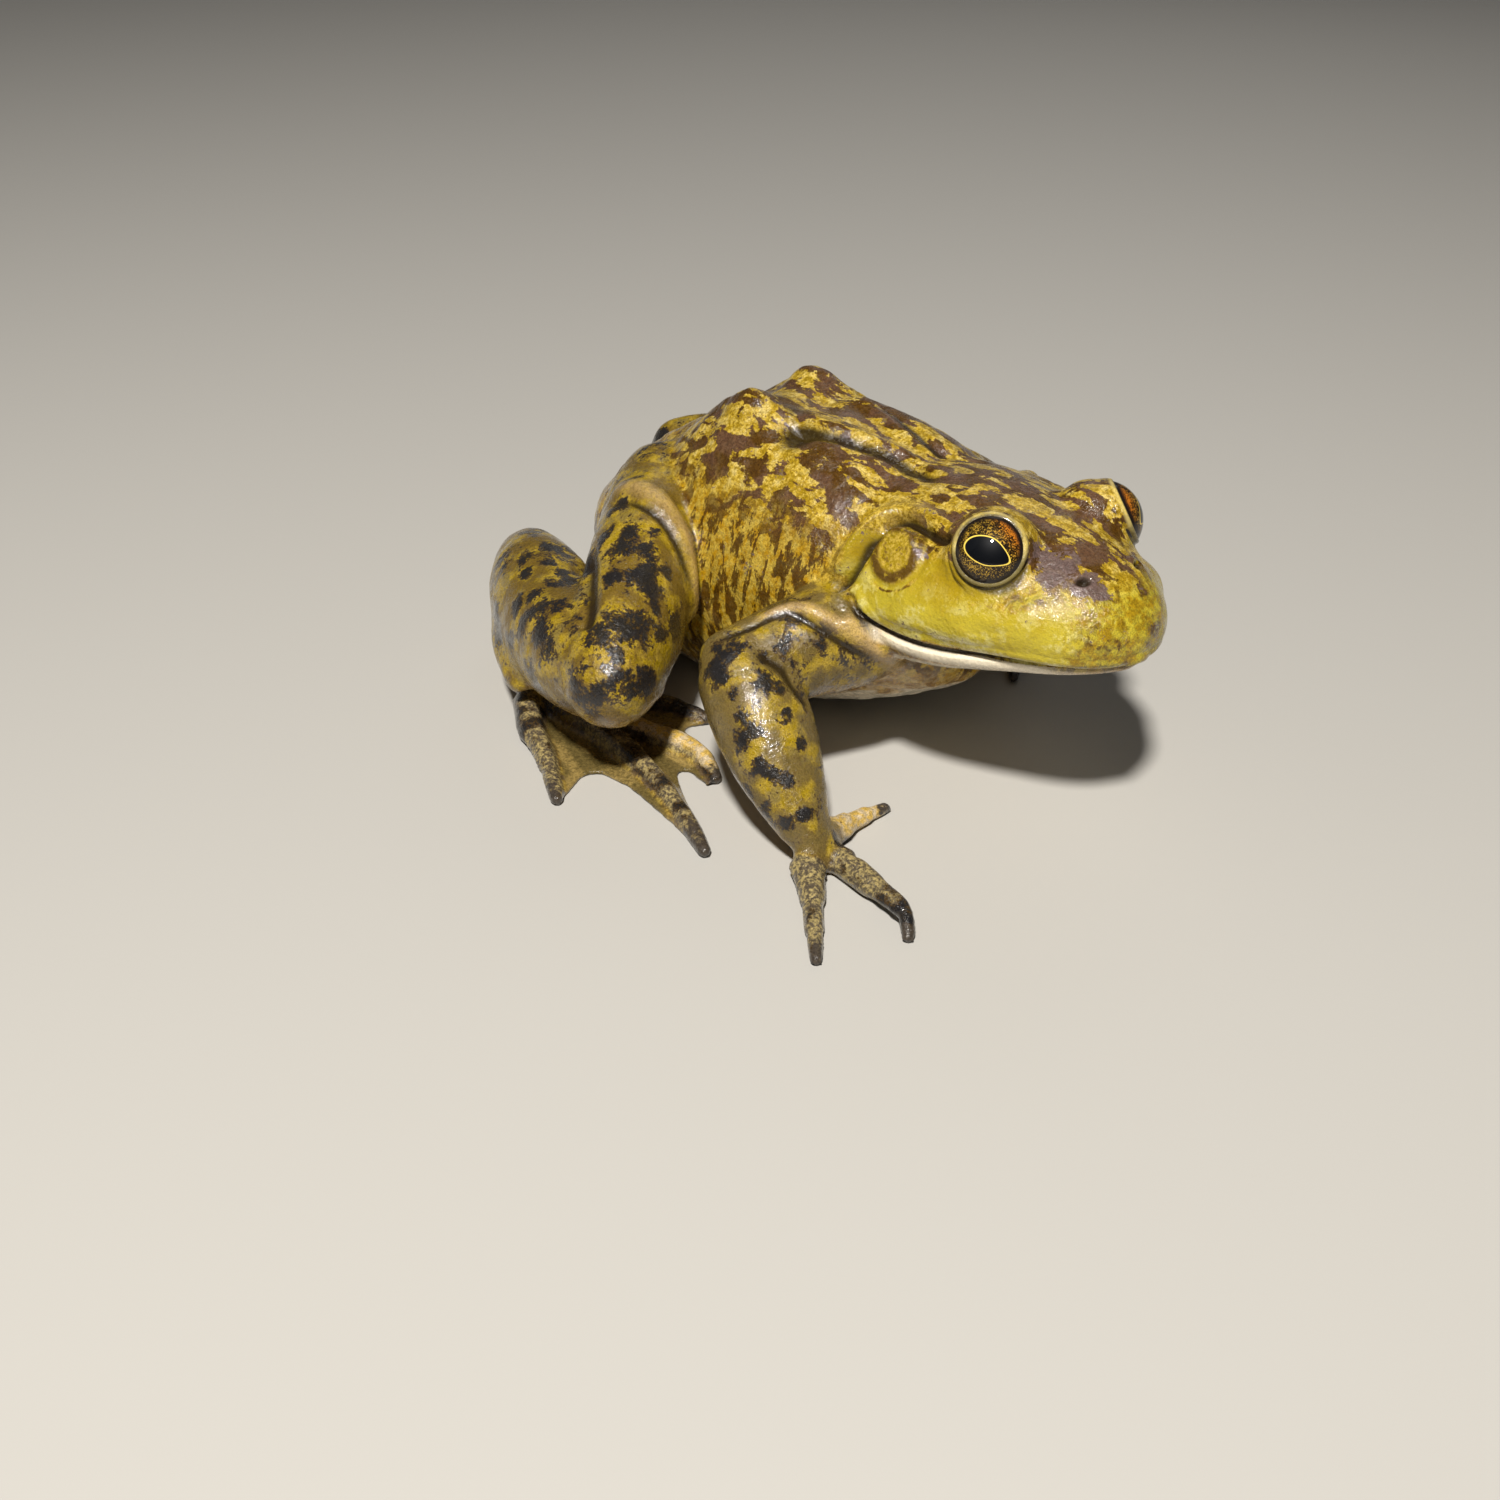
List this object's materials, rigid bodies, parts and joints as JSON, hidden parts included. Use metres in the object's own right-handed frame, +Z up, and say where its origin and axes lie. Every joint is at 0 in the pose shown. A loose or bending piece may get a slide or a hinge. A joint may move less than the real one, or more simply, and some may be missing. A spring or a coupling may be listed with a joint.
{
  "type": "bullfrog museum model",
  "caption": "Life-size still model of a sitting bullfrog, head raised and turned, forelegs splayed, webbed hind feet folded beside the body.",
  "frame": {"origin": "on the floor under the middle of the frog's bounding box", "axes": "+X towards the frog's front, +Y to its left, +Z up"},
  "size_m": [0.124, 0.1154, 0.0497],
  "materials": {
    "skin": "wet, fine-grained, olive with brown blotches",
    "limb_skin": "wet, olive with blackish bars",
    "digit_skin": "wet, grey-brown",
    "pale_skin": "wet, cream",
    "web": "wet, thin, grey-brown",
    "eardrum": "moist, dull",
    "eye": "clear gloss"
  },
  "bodies": {
    "root": {"trunk": "skin", "head": "skin", "lower_jaw": "pale_skin", "eye_R": "eye", "eardrum_R": "eardrum", "thigh_R": "limb_skin", "shank_R": "limb_skin", "tarsus_R": "limb_skin", "foot_R": "limb_skin", "upper_arm_R": "limb_skin", "forearm_R": "limb_skin", "hand_R": "limb_skin", "toe_1_R": "digit_skin", "toe_2_R": "digit_skin", "toe_3_R": "digit_skin", "toe_4_R": "digit_skin", "toe_5_R": "digit_skin", "web_1_R": "web", "web_2_R": "web", "web_3_R": "web", "web_4_R": "web", "finger_1_R": "digit_skin", "finger_2_R": "digit_skin", "finger_3_R": "digit_skin", "finger_4_R": "digit_skin", "eye_L": "eye", "eardrum_L": "eardrum", "thigh_L": "limb_skin", "shank_L": "limb_skin", "tarsus_L": "limb_skin", "foot_L": "limb_skin", "upper_arm_L": "limb_skin", "forearm_L": "limb_skin", "hand_L": "limb_skin", "toe_1_L": "digit_skin", "toe_2_L": "digit_skin", "toe_3_L": "digit_skin", "toe_4_L": "digit_skin", "toe_5_L": "digit_skin", "web_1_L": "web", "web_2_L": "web", "web_3_L": "web", "web_4_L": "web", "finger_1_L": "digit_skin", "finger_2_L": "digit_skin", "finger_3_L": "digit_skin", "finger_4_L": "digit_skin"}
  },
  "joints": []
}
